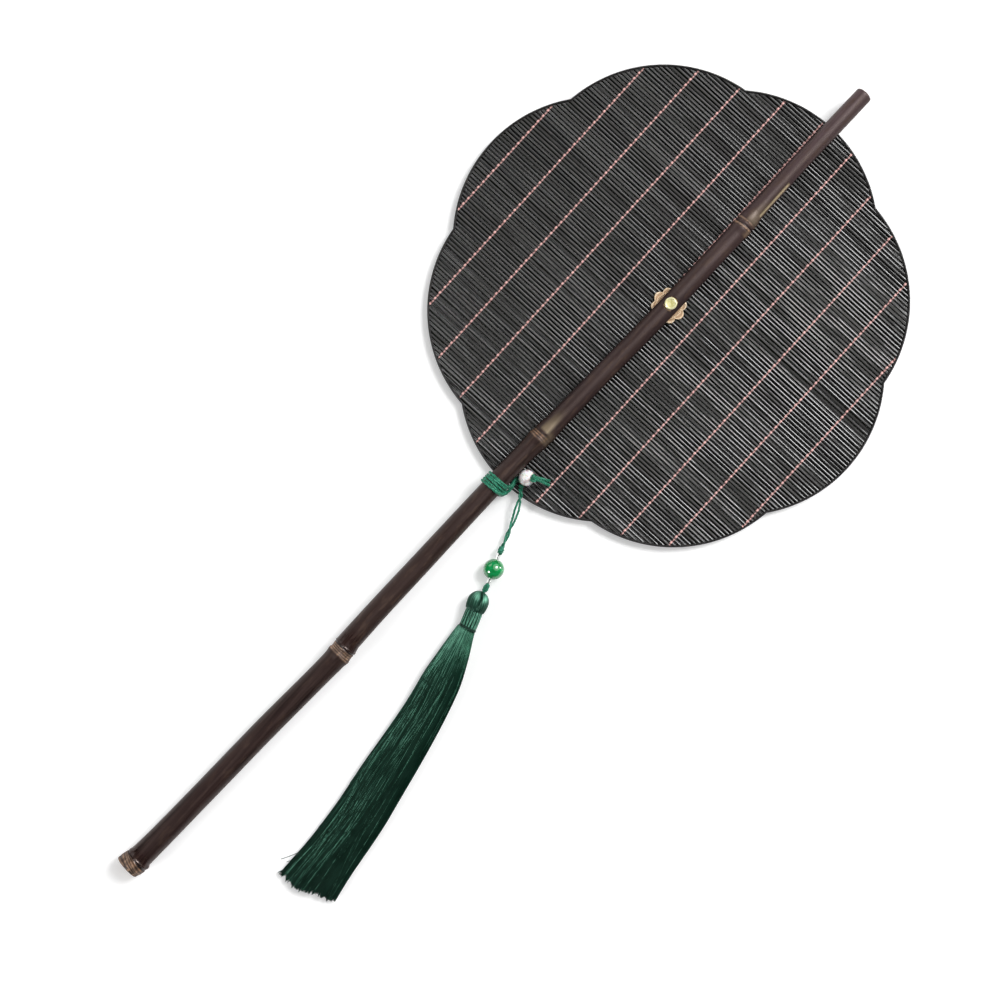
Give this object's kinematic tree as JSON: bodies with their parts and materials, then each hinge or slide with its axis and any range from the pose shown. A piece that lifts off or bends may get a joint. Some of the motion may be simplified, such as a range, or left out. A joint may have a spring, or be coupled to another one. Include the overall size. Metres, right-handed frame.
{
  "type": "paddle fan",
  "caption": "Rigid hand fan: lobed bamboo splint leaf riveted to a long bamboo stick, with a bound cord, a white bead and a pendant of green bead and silk tassel.",
  "frame": {"origin": "on the table that the fan lies on, below the middle of the stick's length and the middle of the leaf's width", "axes": "+Y along the stick from its butt to its tip, +X to the right of the stick seen from the front, where the pendant hangs, +Z out of the fan's front face"},
  "size_m": [0.2406, 0.5301, 0.0173],
  "materials": {
    "dark_bamboo": "dark stained, satin",
    "black_bamboo": "black dyed, glossy on the round tops of the splints",
    "black_edging": "matte black",
    "red_thread": "matte",
    "pale_brass": "pale, lightly polished",
    "tan_washer": "matte, embossed",
    "green_cord": "twisted, slightly glossy",
    "pearl_white": "pearly, smooth",
    "green_stone": "polished, translucent",
    "clear_glass": "clear",
    "dark_thread": "matte",
    "green_silk": "silky strands"
  },
  "bodies": {
    "stick": {"bamboo_stick": "dark_bamboo", "rivet_post": "pale_brass", "rivet_cap": "pale_brass", "front_washer": "tan_washer", "back_washer": "tan_washer", "binding_cord": "green_cord", "bead_tie_1": "green_cord", "bead_tie_2": "green_cord", "stopper_knot": "green_cord", "knot_tail_1": "green_cord", "knot_tail_2": "green_cord", "pendant_hitch": "green_cord"},
    "leaf": {"splint_mat": "black_bamboo", "leaf_rim": "black_edging", "warp_thread_01": "red_thread", "warp_thread_02": "red_thread", "warp_thread_03": "red_thread", "warp_thread_04": "red_thread", "warp_thread_05": "red_thread", "warp_thread_06": "red_thread", "warp_thread_07": "red_thread", "warp_thread_08": "red_thread", "warp_thread_09": "red_thread", "warp_thread_10": "red_thread", "warp_thread_11": "red_thread"},
    "white_bead": {"white_bead": "pearl_white"},
    "pendant": {"pendant_strand_1": "green_cord", "pendant_strand_2": "green_cord", "upper_knot": "green_cord", "bead_thread": "dark_thread", "clear_bead_1": "clear_glass", "clear_bead_2": "clear_glass", "tassel_loop": "green_silk"},
    "green_bead": {"green_bead": "green_stone"},
    "tassel": {"tassel_head": "green_silk", "neck_binding": "green_silk", "tassel_skirt": "green_silk"}
  },
  "joints": [
    {"name": "leaf_turn", "type": "hinge", "parent": "stick", "child": "leaf", "pos_m": [0, 0.12287, 0.0036], "axis": [0, 0, 1], "continuous": true},
    {"name": "white_bead_spin", "type": "hinge", "parent": "stick", "child": "white_bead", "pos_m": [0.00512, 0.01197, 0.0095], "axis": [0.5792, 0.4194, 0.699], "continuous": true},
    {"name": "pendant_swing", "type": "hinge", "parent": "stick", "child": "pendant", "pos_m": [0.00602, 0.00709, 0.0065], "axis": [0, 0, 1], "range_deg": [-6, 45]},
    {"name": "green_bead_spin", "type": "hinge", "parent": "pendant", "child": "green_bead", "pos_m": [0.0235, -0.03273, 0.0051], "axis": [0.3697, -0.9292, 0], "continuous": true},
    {"name": "tassel_swing", "type": "hinge", "parent": "pendant", "child": "tassel", "pos_m": [0.0269, -0.04222, 0.0051], "axis": [0, 0, 1], "range_deg": [-8, 25]}
  ]
}
